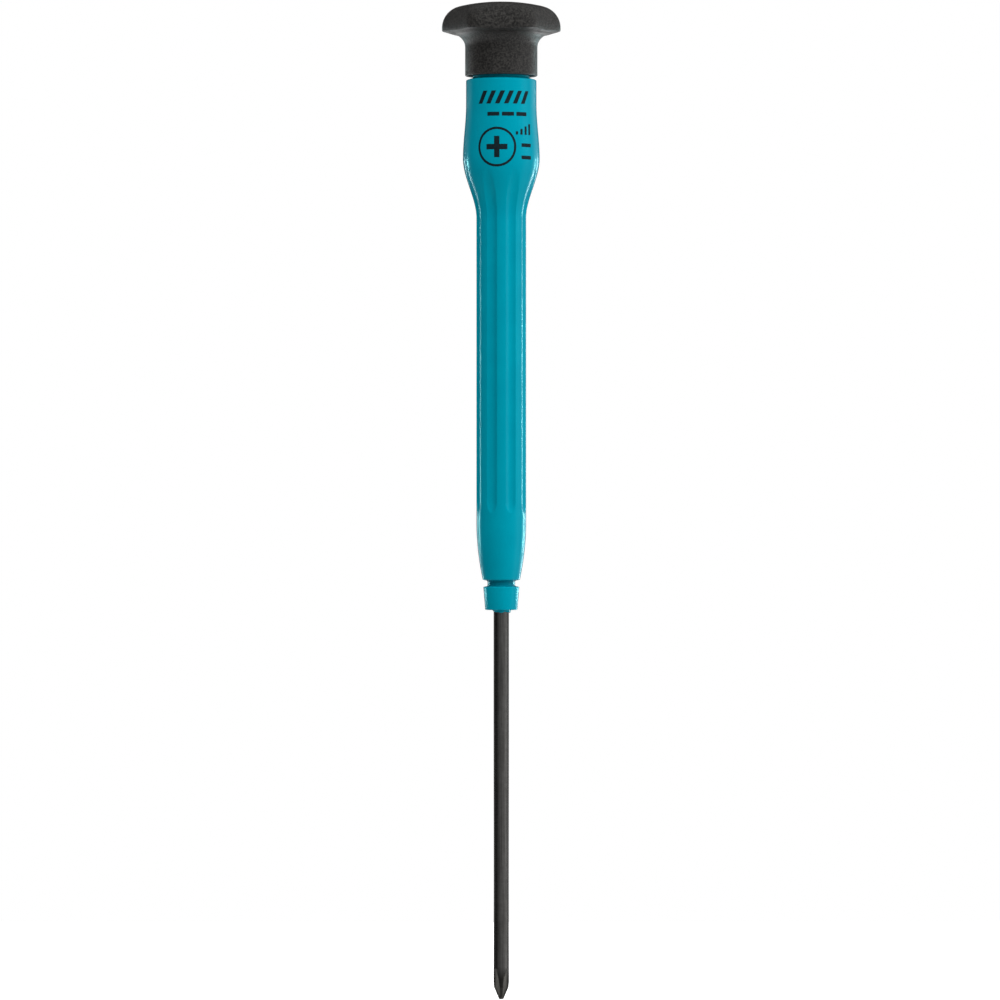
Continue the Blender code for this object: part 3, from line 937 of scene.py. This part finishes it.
def build_world():
    """White behind the tool for the camera; as light, a dim studio, brightest on the right."""
    world = bpy.data.worlds.new("studio")
    bpy.context.scene.world = world
    world.use_nodes = True
    nodes = Nodes(world.node_tree, "Generated")
    x, y, z = nodes.split()
    azimuth = nodes.math("ARCTAN2", x, nodes.math("MULTIPLY", y, -1.0))
    ring = nodes.tree.nodes.new("ShaderNodeValToRGB")
    stops = ring.color_ramp.elements
    nodes.tree.links.new(nodes.ranged(azimuth, -pi, pi, 0.0, 1.0), ring.inputs["Fac"])
    for i, (degrees, share) in enumerate(STUDIO_RING):
        place = degrees / 360 + 0.5
        stop = stops[i] if i < 2 else stops.new(place)
        stop.position = place
        stop.color = (share, share, share, 1.0)
    above = nodes.ranged(z, 0.6, 0.9, 0.0, 1.0)
    below = nodes.ranged(z, -0.3, -0.65, 0.0, 1.0)
    above_light = nodes.math("MULTIPLY", above, STUDIO_ABOVE)
    ends = nodes.math("ADD", above_light, nodes.math("MULTIPLY", below, STUDIO_BELOW))
    round_about = nodes.math("SUBTRACT", 1.0, nodes.math("ADD", above, below))
    level = nodes.math("ADD", ends, nodes.math("MULTIPLY", round_about, ring.outputs["Color"]))
    seen = nodes.tree.nodes.new("ShaderNodeLightPath").outputs["Is Camera Ray"]
    background = nodes.tree.nodes["Background"]
    background.inputs["Color"].default_value = (1.0, 1.0, 1.0, 1.0)
    nodes.tree.links.new(nodes.math("MAXIMUM", seen, level), background.inputs["Strength"])


def build_floor():
    """A pale floor under the tip, as white as the surround, and clear when seen from below."""
    mesh = bpy.data.meshes.new("floor")
    reach = FLOOR_HALF_SIZE
    corners = [(-reach, -reach), (reach, -reach), (reach, reach), (-reach, reach)]
    mesh.from_pydata([(x, y, 0.0) for x, y in corners], [], [(0, 1, 2, 3)])
    look = Look("floor_white", 0.9)
    look.shader.inputs["Base Color"].default_value = (0.8, 0.8, 0.8, 1.0)
    look.shader.inputs["Emission Color"].default_value = (1.0, 1.0, 1.0, 1.0)
    look.shader.inputs["Emission Strength"].default_value = FLOOR_GLOW
    look.clear_from_below()
    mesh.materials.append(look.material)
    floor = bpy.data.objects.new("floor", mesh)
    floor.location.z = BLADE_LOW.z - 0.1 * MM
    floor.visible_diffuse = False
    floor.visible_glossy = False
    floor.visible_shadow = False
    bpy.context.scene.collection.objects.link(floor)


def add_light(name, azimuth, elevation, width, height, power, mirrored=True, tint=(1, 1, 1)):
    """A soft box that faces the tool; azimuth 0 is the camera's side and grows to the right."""
    light = bpy.data.lights.new(name, "AREA")
    light.shape = "RECTANGLE"
    light.size = width
    light.size_y = height
    light.energy = power
    light.color = tint
    box = bpy.data.objects.new(name, light)
    box.visible_glossy = mirrored
    turn, lift = radians(azimuth), radians(elevation)
    away = Vector((sin(turn) * cos(lift), -cos(turn) * cos(lift), sin(lift)))
    box.location = away * LIGHT_DISTANCE + Vector((0.0, 0.0, CAMERA_HEIGHT))
    box.rotation_euler = away.to_track_quat("Z", "Y").to_euler()
    bpy.context.scene.collection.objects.link(box)
    return box


def light_only(name, lights, lit):
    """Keeps the light of these soft boxes to some pieces."""
    group = bpy.data.collections.new(name)
    for piece in lit:
        group.objects.link(piece)
    for box in lights:
        box.light_linking.receiver_collection = group


def build_camera():
    camera = bpy.data.cameras.new("camera")
    camera.sensor_width = SENSOR_WIDTH
    camera.lens = SENSOR_WIDTH * CAMERA_DISTANCE / VIEW_WIDTH
    camera.clip_start = 0.01
    camera.clip_end = 20.0
    holder = bpy.data.objects.new("camera", camera)
    holder.location = (CAMERA_SIDE, -CAMERA_DISTANCE, CAMERA_HEIGHT)
    holder.rotation_euler = (pi / 2, 0.0, 0.0)
    bpy.context.scene.collection.objects.link(holder)
    bpy.context.scene.camera = holder


def main():
    scene = bpy.context.scene
    scene.view_settings.view_transform = "Standard"
    build_camera()
    build_world()
    build_floor()
    for box in FILLS:
        add_light(*box, mirrored=False)
    strips = [add_light(*box, tint=STRIP_TINT) for box in STRIPS]
    lines = [add_light(*box, tint=LINE_TINT) for box in LINES]
    rims = [add_light(*box) for box in RIMS]

    handle = build_handle(teal_plastic())
    build_blade(black_steel())
    cap = build_cap(charcoal_plastic())
    light_only("strips_lit", strips, (handle, cap))
    light_only("lines_lit", lines, (handle,))
    light_only("rims_lit", rims, (cap,))
    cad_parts["thrust_ball"].data.materials.clear()
    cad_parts["thrust_ball"].data.materials.append(bearing_steel())
    build_print(print_ink())


main()
